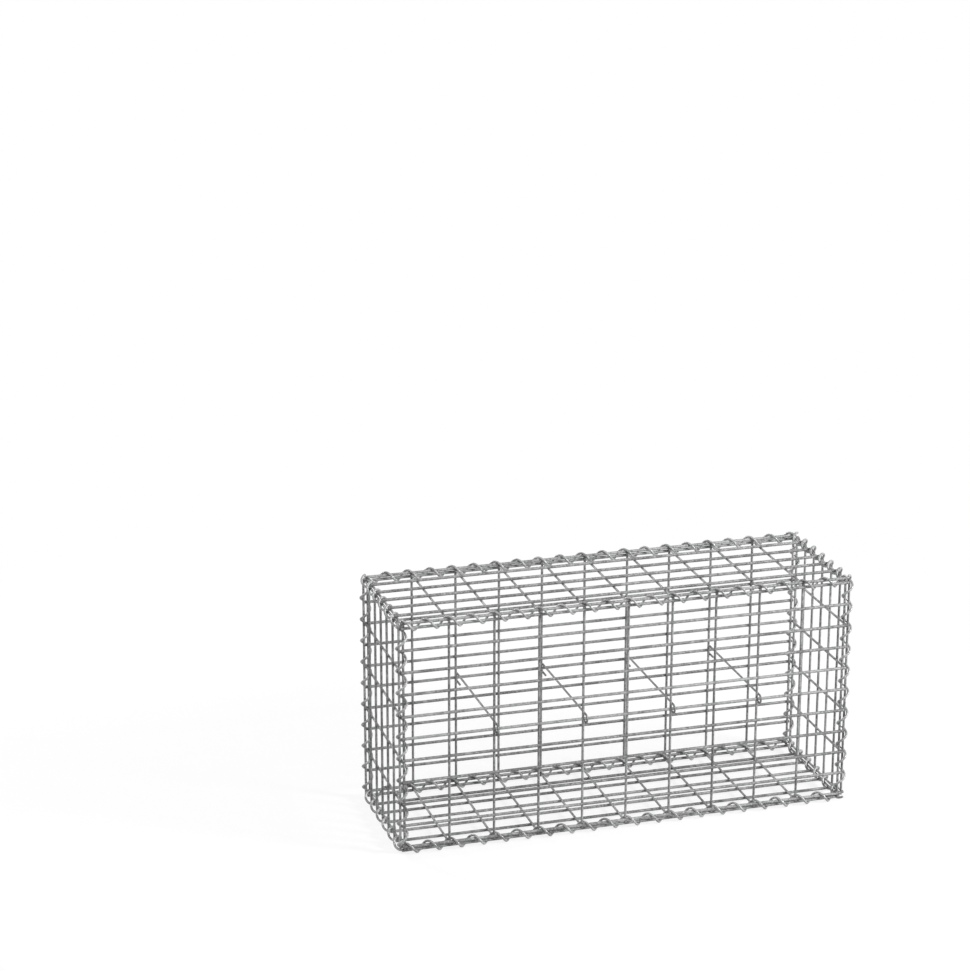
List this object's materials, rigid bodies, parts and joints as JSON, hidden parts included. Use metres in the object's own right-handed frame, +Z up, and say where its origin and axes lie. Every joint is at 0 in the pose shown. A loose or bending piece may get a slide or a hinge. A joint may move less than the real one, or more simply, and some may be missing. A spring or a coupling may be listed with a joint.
{
  "type": "gabion basket",
  "caption": "Empty oblong basket of welded galvanised wire mesh, closed by a lid, laced along its edges with wire spirals and held to shape inside by hooked spacer ties.",
  "frame": {"origin": "on the ground below the middle of the basket, the ground being where the lowest turns of its spirals touch it", "axes": "+X along the basket's length towards its right-hand end, +Y from its front face to its back face, +Z up"},
  "size_m": [1.0364, 0.332, 0.535],
  "materials": {
    "mesh_wire": "galvanised, dull grey with slightly brighter patches",
    "spiral_wire": "galvanised, satin",
    "tie_wire": "galvanised, satin"
  },
  "bodies": {
    "root": {"front_panel": "mesh_wire", "back_panel": "mesh_wire", "left_end_panel": "mesh_wire", "right_end_panel": "mesh_wire", "base_panel": "mesh_wire", "lid_panel": "mesh_wire", "front_bottom_spiral": "spiral_wire", "front_top_spiral": "spiral_wire", "back_bottom_spiral": "spiral_wire", "back_top_spiral": "spiral_wire", "front_left_spiral": "spiral_wire", "front_right_spiral": "spiral_wire", "back_left_spiral": "spiral_wire", "back_right_spiral": "spiral_wire", "left_bottom_spiral": "spiral_wire", "left_top_spiral": "spiral_wire", "right_bottom_spiral": "spiral_wire", "right_top_spiral": "spiral_wire", "spacer_tie_1": "tie_wire", "spacer_tie_2": "tie_wire", "spacer_tie_3": "tie_wire", "spacer_tie_4": "tie_wire"}
  },
  "joints": []
}
